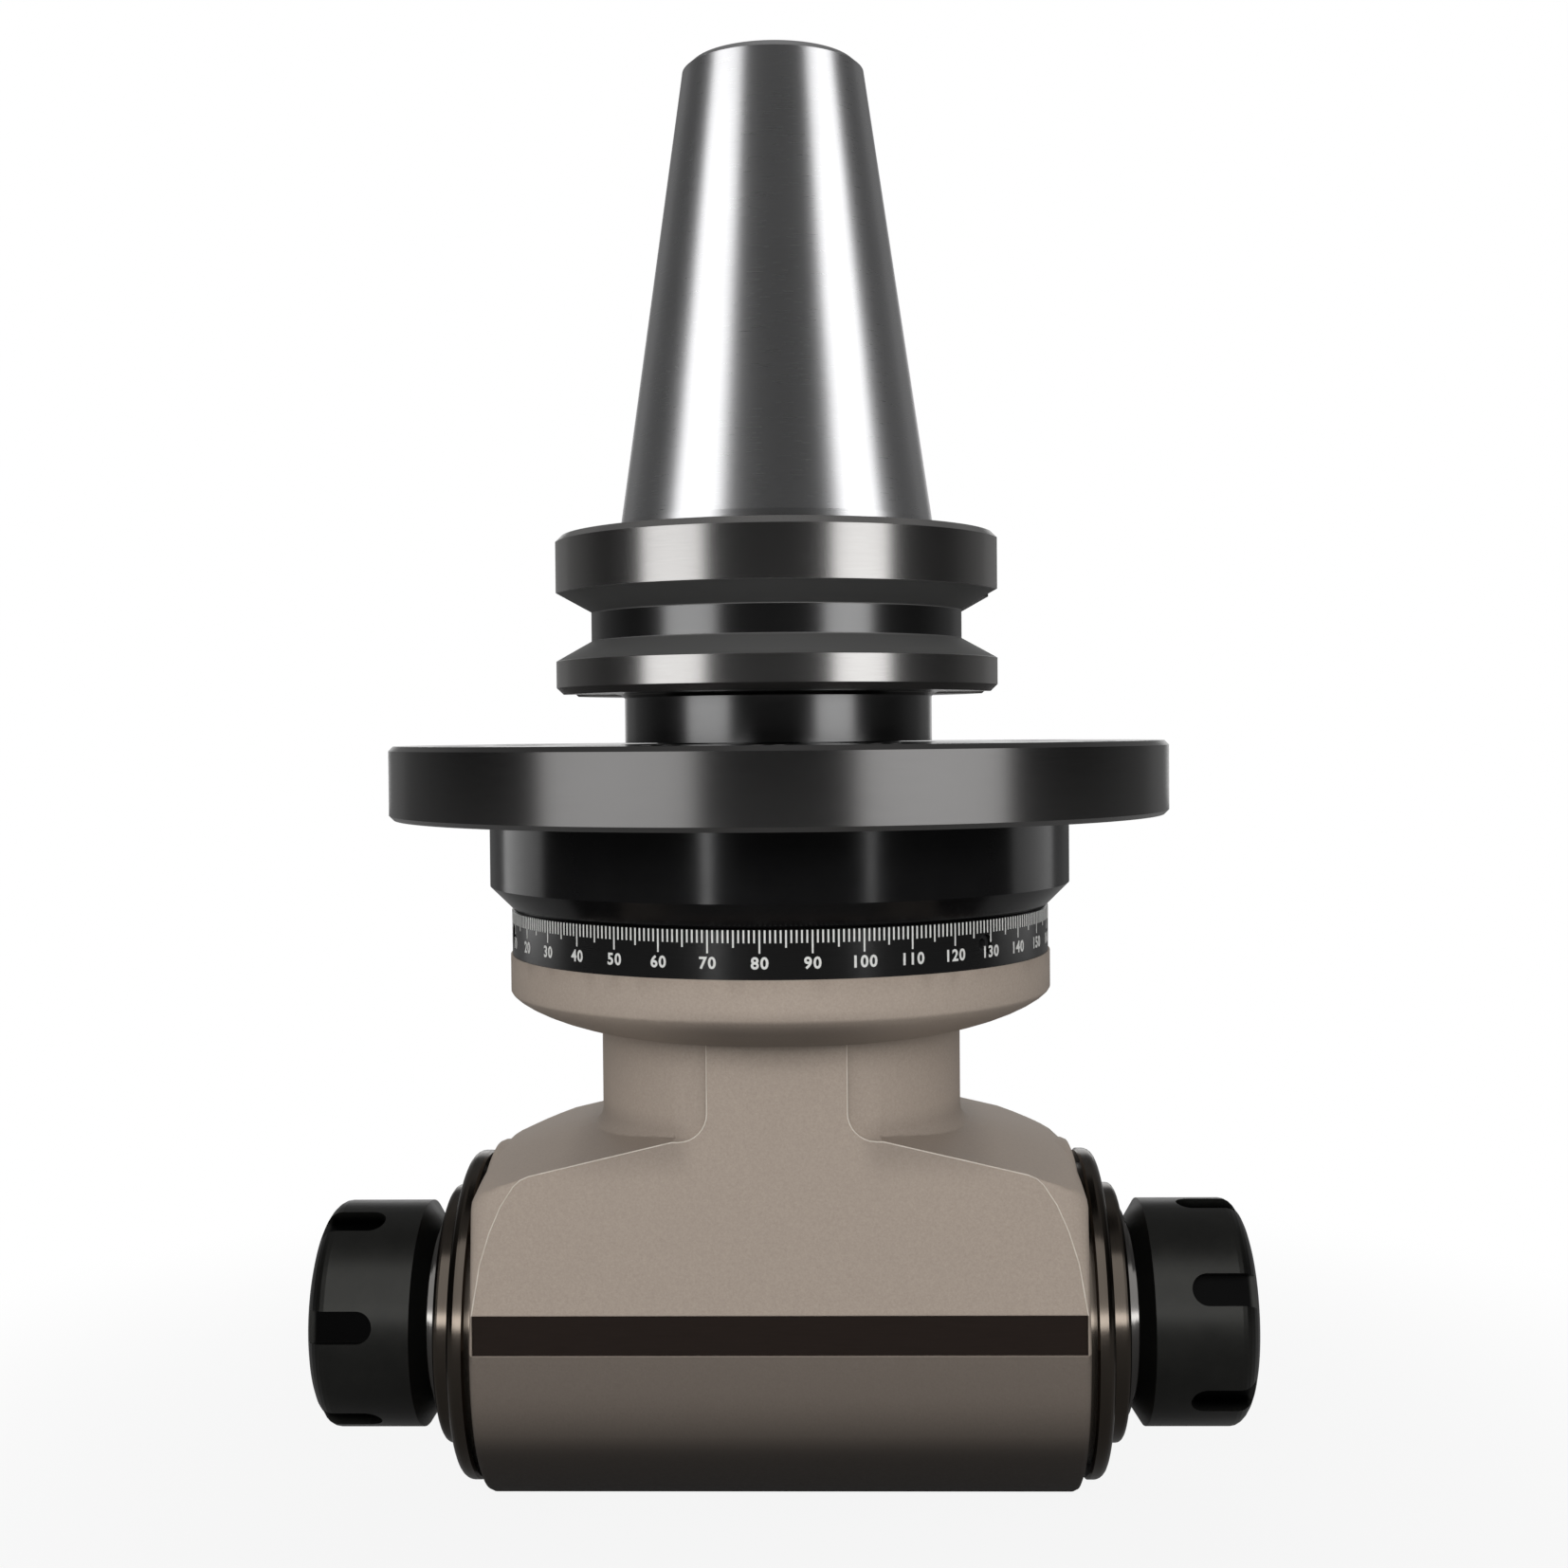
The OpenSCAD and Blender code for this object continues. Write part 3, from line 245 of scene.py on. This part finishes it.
turned = {"along": 0.02, "patch": 18 * mm, "shade": 0.12, "wander": 0.08}   # wander: how far roughness varies


def turnedSteel(name, colour, roughness, lines=0.12 * mm, depth=0.002 * mm, axis=2):
    # steel with fine turning marks round the axis
    finish = Finish(name)
    marks = finish.noise(lines, 3, 0.6, ringMarks(axis, turned["along"]))
    patches = finish.noise(turned["patch"], 3, 0.55)
    dark = tuple(channel * (1 - turned["shade"]) for channel in colour)
    tint = finish.blend(patches * 0.6 + marks * 0.4, dark, colour)
    return finish.close(colour=tint, metallic=1.0, normal=finish.bump(marks, depth),
                        roughness=roughness - turned["wander"] / 2 + marks * turned["wander"])


# the taper is ground bright, the gripper flange is darker and the slopes of its groove darkest
shank = {"taper": (0.68, 0.68, 0.69), "grip": (0.5, 0.49, 0.48), "groove": (0.18, 0.18, 0.18),
         "neck": (0.17, 0.17, 0.17), "slopes": (0.13, 0.13, 0.128), "stain": (0.08, 0.08, 0.085),
         "taperFrom": -2.5 * mm, "grooveFrom": -30.6 * mm, "grooveTo": -15.8 * mm,
         "floorFrom": -26.2 * mm, "floorTo": -20.2 * mm, "gripFrom": -38.2 * mm,
         "soft": 0.2 * mm, "grooveSoft": 0.4 * mm, "lines": 0.2 * mm, "patch": 25 * mm, "depth": 0.0012 * mm}


def makeShank():
    finish = Finish("groundTaper")
    z = finish.axes()[2]
    marks = finish.noise(shank["lines"], 3, 0.6, ringMarks(2, 0.03))
    patches = finish.noise(shank["patch"], 2, 0.5)
    taper = z.above(shank["taperFrom"], shank["soft"])
    inGroove = z.below(shank["grooveTo"], shank["grooveSoft"]) * z.above(shank["grooveFrom"], shank["grooveSoft"])
    onFloor = z.above(shank["floorFrom"], shank["soft"]) * z.below(shank["floorTo"], shank["soft"])
    slopes = inGroove * (1 - onFloor)
    colour = finish.blend(inGroove, shank["grip"], shank["groove"])
    colour = finish.blend(z.below(shank["gripFrom"], shank["soft"]), colour, shank["neck"])
    colour = finish.blend(taper, colour, shank["taper"])
    colour = finish.blend(patches * 0.18 + marks * 0.1, colour, shank["stain"])
    colour = finish.blend(slopes, colour, shank["slopes"])   # milled matt
    return finish.close(colour=colour, metallic=1 - slopes * 0.7, normal=finish.bump(marks, shank["depth"]),
                        roughness=0.2 + taper * 0.06 + marks * 0.04 + slopes * 0.25)


# the two darkest colours are painted shade for the underside and the hollows
cast = {"grain": 0.42 * mm, "speck": 0.75 * mm, "cloud": 14 * mm, "depth": 0.06 * mm, "edge": 0.35 * mm,
        "light": (0.49, 0.415, 0.35), "dark": (0.295, 0.24, 0.198), "clouded": (0.36, 0.305, 0.26),
        "paintedShade": (0.05, 0.042, 0.036), "deep": (0.016, 0.013, 0.011),
        "grooveFloor": -176.4 * mm, "underside": -190 * mm, "deepest": -193 * mm,
        "bellFrom": -111.4 * mm, "bellTo": -104 * mm, "valleyFrom": -137 * mm, "valleyTo": -129 * mm}


def makeCast():
    # fine sandblasted grain with slight patches
    finish = Finish("castBeige")
    grain = finish.noise(cast["grain"], 3, 0.65)
    cloud = finish.noise(cast["cloud"], 3, 0.5)
    speck = finish.noise(cast["speck"], 1, 0.5)
    tint = finish.blend(grain * 0.75 + speck * 0.35 - 0.05, cast["dark"], cast["light"])
    tint = finish.blend(cloud * 0.3, tint, cast["clouded"])

    # painted shade: the front below the band, the underside, the hollow under the bell and the valleys beside the
    # neck are darkened where shade falls
    x, y, z = finish.axes()
    side = x.math("ABSOLUTE", x)
    front = y.below(-20 * mm, 30 * mm)
    paintedUnderShade = z.below(cast["grooveFloor"], 0.4 * mm) * front * 0.72
    paintedUnderShade = paintedUnderShade.math("MAXIMUM", paintedUnderShade, z.below(cast["underside"], 24 * mm) * 0.94)
    paintedBellShadow = z.below(cast["bellTo"], 6 * mm) * z.above(cast["bellFrom"], 0.4 * mm) * side.below(20 * mm, 26 * mm)
    paintedValleyShade = z.above(cast["valleyFrom"], 8 * mm) * z.below(cast["valleyTo"], 6 * mm)
    paintedValleyShade = paintedValleyShade * side.below(44 * mm, 10 * mm) * side.above(19 * mm, 6 * mm)
    tint = finish.blend(paintedUnderShade, tint, cast["paintedShade"])
    # painted shade: the lowest part of the barrel goes darker still
    tint = finish.blend(z.below(cast["deepest"], 18 * mm) * 0.7, tint, cast["deep"])
    tint = finish.blend(paintedBellShadow * 0.6, tint, cast["paintedShade"])
    tint = finish.blend(paintedValleyShade * 0.22, tint, cast["paintedShade"])

    edge = finish.add("Bevel", {"samples": 4}, {"Radius": cast["edge"]}, out="Normal")
    normal = finish.bump(grain * 0.8 + speck * 0.3, cast["depth"], Strength=0.5, Normal=edge)
    return finish.close(colour=tint, roughness=0.5 + speck * 0.12, specular=0.35, normal=normal)


def makeBlack(name, colour, roughness, specular=0.5, grain=0.25 * mm, depth=0.004 * mm, axis=None):
    # a black skin with slight smears, and with turning marks where an axis is given
    finish = Finish(name)
    marks = finish.noise(grain, 2, 0.6, (1, 1, 1) if axis is None else ringMarks(axis, 0.03))
    smears = finish.noise(9 * mm, 3, 0.6)
    pale = tuple(channel * 1.5 + 0.003 for channel in colour)
    return finish.close(colour=finish.blend(smears * 0.7 + marks * 0.3, colour, pale), specular=specular,
                        roughness=roughness + smears * 0.07 + marks * 0.04, normal=finish.bump(marks, depth))


nut = {"dark": (0.022, 0.022, 0.021), "pale": (0.036, 0.036, 0.033), "slotShade": (0.004, 0.004, 0.004),
       "axisHeight": -178 * mm, "slotFloor": 23.5 * mm, "slotFrom": 86 * mm, "slotTo": 101.5 * mm}


def makeNutBlack():
    # black oxide keeps some of the steel's shine, and the milled slots are painted near black as the shade inside
    # them
    finish = Finish("nutOxide")
    marks = finish.noise(0.18 * mm, 3, 0.6, ringMarks(0, 0.05))
    smears = finish.noise(8 * mm, 3, 0.6)
    x, y, z = finish.axes()
    reach, height = x.math("ABSOLUTE", x), z - nut["axisHeight"]
    across = y * y + height * height
    inSlot = across.math("SQRT", across).below(nut["slotFloor"], 3 * mm)
    slot = inSlot * reach.above(nut["slotFrom"], 0.4 * mm) * reach.below(nut["slotTo"], 1 * mm)
    tint = finish.blend(smears, nut["dark"], nut["pale"])
    # painted shade: the slots are darkened
    tint = finish.blend(slot, tint, nut["slotShade"])
    return finish.close(colour=tint, metallic=0.85 + slot * 0.15, normal=finish.bump(marks, 0.003 * mm),
                        roughness=0.27 + smears * 0.1 + marks * 0.06)


def thinPaint(name, low, high, speck, roughness, specular, stretch=(1, 1, 1), wander=0, depth=0):
    # a thin coat that varies between two shades
    finish = Finish(name)
    marks = finish.noise(speck, 2, 0.6, stretch)
    sockets = {"colour": finish.blend(marks, low, high), "roughness": roughness, "specular": specular}
    if wander:
        sockets["roughness"] = roughness + marks * wander
    if depth:
        sockets["normal"] = finish.bump(marks, depth)
    return finish.close(**sockets)


finishes = {
    "disc_steel": turnedSteel("discSteel", (0.175, 0.172, 0.17), 0.21, lines=0.16 * mm, depth=0.0015 * mm),
    "collar_black": makeBlack("collarBlack", (0.003, 0.003, 0.0032), 0.12, specular=0.12, grain=0.3 * mm,
                              depth=0.001 * mm, axis=2),
    "scale_black": thinPaint("scaleBlack", (0.005, 0.005, 0.005), (0.009, 0.009, 0.009), 0.2 * mm, 0.2, 0.16,
                             stretch=ringMarks(2, 0.03), wander=0.08, depth=0.002 * mm),
    "screw_steel": makeBlack("screwBlack", (0.02, 0.02, 0.021), 0.3),
    "seal_rubber": makeBlack("sealRubber", (0.018, 0.018, 0.018), 0.6, specular=0.4, grain=0.5 * mm,
                             depth=0.01 * mm),
    "cast_beige": makeCast(),
    "inner_steel": turnedSteel("innerSteel", (0.42, 0.42, 0.43), 0.25),
    "ground_steel": makeShank(),
    "flange_steel": makeShank(),
    "cap_brown": turnedSteel("capBrown", (0.085, 0.072, 0.06), 0.18, lines=0.1 * mm, axis=0),
    "spindle_steel": turnedSteel("spindleSteel", (0.13, 0.125, 0.12), 0.18, lines=0.1 * mm, depth=0.0015 * mm,
                                 axis=0),
    "nut_black": makeNutBlack(),
    "collet_steel": turnedSteel("colletSteel", (0.55, 0.55, 0.55), 0.22, lines=0.1 * mm, depth=0.001 * mm, axis=0),
    "gear_steel": turnedSteel("gearSteel", (0.36, 0.36, 0.37), 0.28),
}
markWhite = thinPaint("markWhite", (0.62, 0.62, 0.6), (0.8, 0.8, 0.78), 0.6 * mm, 0.6, 0.3)
bandBrown = thinPaint("faceBandBrown", (0.014, 0.0095, 0.0075), (0.02, 0.0135, 0.011), 0.3 * mm, 0.55, 0.2,
                      stretch=(0.05, 1, 1), depth=0.004 * mm)
# painted highlight for the front panel's edge
paintedEdgeHighlight = thinPaint("paintedEdgeHighlight", (0.5, 0.44, 0.37), (0.82, 0.76, 0.68), 2.5 * mm, 0.35, 0.5)


def dressNodes():
    for row in frame["record"]["subparts"]:
        materials = nodes[row["node"]].data.materials
        materials.clear()
        materials.append(finishes[row["material_slot"]])


dressNodes()
print("finishes on the nodes")

# modelling helpers


def deselectAll():
    if bpy.context.object and bpy.context.object.mode != "OBJECT":
        bpy.ops.object.mode_set(mode="OBJECT")
    for piece in bpy.context.selected_objects:
        piece.select_set(False)


def addBox(name, size, middle):
    deselectAll()
    bpy.ops.mesh.primitive_cube_add(size=1)
    box = bpy.context.object
    box.name = name
    box.scale = size
    box.location = middle
    bpy.ops.object.transform_apply(location=True, rotation=False, scale=True)
    return box


def copyPiece(source, name):
    # with its own mesh, selected and active
    deselectAll()
    piece = bpy.data.objects.new(name, source.data.copy())
    bpy.context.scene.collection.objects.link(piece)
    piece.select_set(True)
    bpy.context.view_layer.objects.active = piece
    return piece


def joinPieces(made):
    deselectAll()
    for piece in made:
        piece.select_set(True)
    bpy.context.view_layer.objects.active = made[0]
    bpy.ops.object.join()
    return made[0]


def settle(piece, body, finish, name=None):
    # the place goes into the mesh, and the piece rides on its body
    piece.data.transform(piece.matrix_world)
    piece.matrix_world = Matrix.Identity(4)
    piece.data.materials.clear()
    piece.data.materials.append(finish)
    if name:
        piece.name = name
    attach(piece, body)


# scale marks and numbers

scale = {"radius": 60.0 * mm, "top": -85.45 * mm, "zeroAt": 187.6, "stand": 0.025 * mm,
         "short": 2.55 * mm, "middle": 3.45 * mm, "long": 4.6 * mm, "tickWidth": 0.36 * mm,
         "digitTall": 2.5 * mm, "digitDrop": 6.5 * mm, "digitEvery": 10,
         "fontSize": 3.2 * mm, "fontWeight": 0.09 * mm, "fontSpacing": 1.15, "fontSteps": 3}


def spunTicks(name, every, length):
    # one tick at zero, spun round the ring; every and zeroAt are in degrees
    size = (2 * scale["stand"], scale["tickWidth"], length)
    tick = addBox(name, size, (scale["radius"], 0, scale["top"] - length / 2))
    tick.data.transform(Matrix.Rotation(math.radians(scale["zeroAt"]), 4, "Z"))
    bpy.ops.object.mode_set(mode="EDIT")
    bpy.ops.mesh.select_all(action="SELECT")
    bpy.ops.mesh.spin(steps=360 // every - 1, dupli=True, angle=math.radians(360 - every), center=(0, 0, 0),
                      axis=(0, 0, 1), use_auto_merge=False)
    bpy.ops.mesh.select_all(action="SELECT")
    bpy.ops.mesh.normals_make_consistent(inside=False)
    bpy.ops.object.mode_set(mode="OBJECT")
    return tick


def scaleTicks():
    made = [spunTicks("scaleTicks", 1, scale["short"]), spunTicks("fiveTicks", 5, scale["middle"]),
            spunTicks("tenTicks", 10, scale["long"])]
    settle(joinPieces(made), "swivel_housing", markWhite)


def addNumber(value):
    deselectAll()
    bpy.ops.object.text_add()
    label = bpy.context.object
    label.data.body = str(value)
    label.data.align_x, label.data.align_y = "CENTER", "CENTER"
    label.data.size = scale["fontSize"]
    label.data.offset = scale["fontWeight"]
    label.data.space_character = scale["fontSpacing"]
    label.data.extrude = scale["stand"]
    label.data.resolution_u = scale["fontSteps"]
    bpy.ops.object.convert(target="MESH")
    return label


def wrapNumber(label, value):
    heights = [vertex.co.y for vertex in label.data.vertices]
    middle = (max(heights) + min(heights)) / 2
    grow = scale["digitTall"] / (max(heights) - min(heights))
    azimuth = math.radians(value + scale["zeroAt"])
    for vertex in label.data.vertices:
        across, up, out = vertex.co
        turn = azimuth + across * grow / scale["radius"]
        reach = scale["radius"] + out
        vertex.co = (reach * math.cos(turn), reach * math.sin(turn),
                     scale["top"] - scale["digitDrop"] + (up - middle) * grow)


def scaleNumbers():
    made = []
    for value in range(0, 360, scale["digitEvery"]):
        made.append(addNumber(value))
        wrapNumber(made[-1], value)
    settle(joinPieces(made), "swivel_housing", markWhite, "scaleNumbers")


scaleTicks()
scaleNumbers()
print("scale marked")

# housing

housing = {"merge": 0.004 * mm, "angle": 32, "front": -38.75 * mm, "flatWithin": 0.1 * mm, "facing": 0.9995}


def onFlat(face, side):
    # side is -1 for the flat front and 1 for the flat back
    near = abs(face.center.y * side + housing["front"]) < housing["flatWithin"]
    return near and face.normal.y * side > housing["facing"]


def markFlats(piece):
    # the flat front and back keep a crisp outline
    bpy.ops.object.mode_set(mode="EDIT")
    bpy.ops.mesh.select_mode(type="FACE")
    bpy.ops.mesh.select_all(action="DESELECT")
    bpy.ops.object.mode_set(mode="OBJECT")
    for side in (-1, 1):
        for face in piece.data.polygons:
            face.select = onFlat(face, side)
        bpy.ops.object.mode_set(mode="EDIT")
        bpy.ops.mesh.select_mode(type="FACE")
        bpy.ops.mesh.region_to_loop()
        bpy.ops.mesh.mark_sharp()
        bpy.ops.mesh.select_mode(type="FACE")
        bpy.ops.mesh.select_all(action="DESELECT")
        bpy.ops.object.mode_set(mode="OBJECT")


def evenNormals(piece):
    even = piece.modifiers.new("evenNormals", "WEIGHTED_NORMAL")
    even.mode = "FACE_AREA"
    even.keep_sharp = True
    bpy.ops.object.modifier_apply(modifier=even.name)


def softHousing():
    # the CAD housing with smooth shading over its rounded edges
    piece = copyPiece(nodes["housing"], "housingShell")
    bpy.ops.object.mode_set(mode="EDIT")
    bpy.ops.mesh.select_all(action="SELECT")
    bpy.ops.mesh.remove_doubles(threshold=housing["merge"])
    bpy.ops.object.mode_set(mode="OBJECT")
    bpy.ops.object.shade_smooth_by_angle(angle=math.radians(housing["angle"]))
    markFlats(piece)
    evenNormals(piece)
    settle(piece, "swivel_housing", finishes["cast_beige"])
    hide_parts("housing")
    return piece


shell = softHousing()

# front panel: a painted highlight along its edge, and the dark band

panel = {"bottom": -167.9 * mm, "bottomGap": 0.2 * mm, "edgeRadius": 0.13 * mm, "edgeAngle": 0.4,
         "bandReach": 64.1 * mm, "bandLow": -176.3 * mm, "bandHigh": -168.0 * mm, "bandDepth": 1.2 * mm,
         "bandThick": 0.9 * mm, "bandSink": 0.01 * mm, "bandBevel": 0.12 * mm}


def pickOutline(data):
    # of the selected edges, those along the panel's bottom are dropped
    picked = []
    for edge in data.edges:
        height = sum(data.vertices[i].co.z for i in edge.vertices) / 2
        if edge.select and height >= panel["bottom"] + panel["bottomGap"]:
            picked.append(edge)
    for part in (*data.vertices, *data.edges):
        part.select = False
    for edge in picked:
        edge.select = True
        for i in edge.vertices:
            data.vertices[i].select = True


def panelEdge():
    # the outline of the housing's flat front, lifted off as a thin bead painted bright as the edge's highlight
    piece = copyPiece(shell, "panelEdge")
    data = piece.data
    for face in data.polygons:
        face.select = onFlat(face, -1) and face.center.z > panel["bottom"]
    bpy.ops.object.mode_set(mode="EDIT")
    bpy.ops.mesh.select_mode(type="FACE")
    bpy.ops.mesh.region_to_loop()
    bpy.ops.object.mode_set(mode="OBJECT")
    pickOutline(data)
    bpy.ops.object.mode_set(mode="EDIT")
    bpy.ops.mesh.select_mode(type="EDGE")
    bpy.ops.mesh.select_all(action="INVERT")
    bpy.ops.mesh.delete(type="EDGE")
    bpy.ops.mesh.select_all(action="SELECT")
    bpy.ops.mesh.dissolve_limited(angle_limit=math.radians(panel["edgeAngle"]))
    bpy.ops.object.mode_set(mode="OBJECT")
    bpy.ops.object.convert(target="CURVE")
    line = bpy.context.object
    line.data.bevel_depth = panel["edgeRadius"]
    line.data.bevel_resolution = 2
    line.data.use_fill_caps = True
    bpy.ops.object.convert(target="MESH")
    settle(bpy.context.object, "swivel_housing", paintedEdgeHighlight)


def faceBand():
    tall = panel["bandHigh"] - panel["bandLow"]
    back = housing["front"] + panel["bandDepth"] - panel["bandSink"]
    piece = addBox("faceBand", (2 * panel["bandReach"], panel["bandThick"], tall),
                   (0, back - panel["bandThick"] / 2, panel["bandLow"] + tall / 2))
    bpy.ops.object.mode_set(mode="EDIT")
    bpy.ops.mesh.select_all(action="SELECT")
    bpy.ops.mesh.bevel(offset=panel["bandBevel"], segments=2)
    bpy.ops.object.mode_set(mode="OBJECT")
    settle(piece, "swivel_housing", bandBrown)


panelEdge()
faceBand()
print("housing softened, panel edge and band fitted")

# floor and surroundings

room = {"floorSize": 8, "floorDrop": 0.2 * mm, "floorPale": (0.3, 0.3, 0.3), "white": (1, 1, 1),
        "shadeArea": 0.05, "shadeSoft": 0.09, "shadeShare": 0.1, "floorShine": 0.03}


def stageRoom():
    deselectAll()
    bpy.ops.mesh.primitive_plane_add(size=room["floorSize"], location=(0, 0, cadLow.z - room["floorDrop"]))
    floor = bpy.context.object
    floor.name = "floor"
    finish = Finish("floorPale")
    x, y = finish.axes()[:2]
    ray, glossy, through = finish.rays("Camera", "Glossy", "Transmission")
    near = (x * x + y * y).below(room["shadeArea"], room["shadeSoft"])
    mirrored = ray.math("MAXIMUM", glossy, through) * room["floorShine"]
    seen = ray * (1 - near * room["shadeShare"]) + (1 - ray) * mirrored
    diffuse = finish.add("BsdfDiffuse", {}, {"Color": room["floorPale"]})
    white = finish.add("Emission", {}, {"Color": room["white"], "Strength": 1.0})
    mix = finish.add("MixShader", {}, {0: seen, 1: diffuse, 2: white})
    finish.add("OutputMaterial", {}, {"Surface": mix})
    floor.data.materials.append(finish.owner)


# what metal mirrors and what lights the paint, apart from the lamps
studio = {"shine": 0.02, "shineOverhead": 0.2, "shineAway": 0.12, "fill": 0.05, "fillAbove": 0.27}


def surroundings():
    world = bpy.data.worlds.new("studio")
    bpy.context.scene.world = world
    sky = Graph(world, "Generated")
    y, z = sky.axes()[1:]
    seen, glossy, clear = sky.rays("Camera", "Glossy", "Transmission")
    behind = y.above(0.93, 0.06)
    backdrop = seen.math("MAXIMUM", seen, seen.math("MAXIMUM", glossy, clear) * behind)
    shine = studio["shine"] + z.above(0.75, 0.5) * studio["shineOverhead"] + y.above(0.4, 0.8) * studio["shineAway"]
    fill = studio["fill"] + z.above(0.0, 0.5) * studio["fillAbove"]
    strength = backdrop + (1 - backdrop) * (glossy * shine + (1 - glossy) * fill)
    shade = sky.add("Background", {}, {"Color": room["white"], "Strength": strength})
    sky.add("OutputWorld", {}, {"Surface": shade})


stageRoom()
surroundings()
bpy.context.scene.view_settings.view_transform = "Standard"
print("floor and surroundings set")
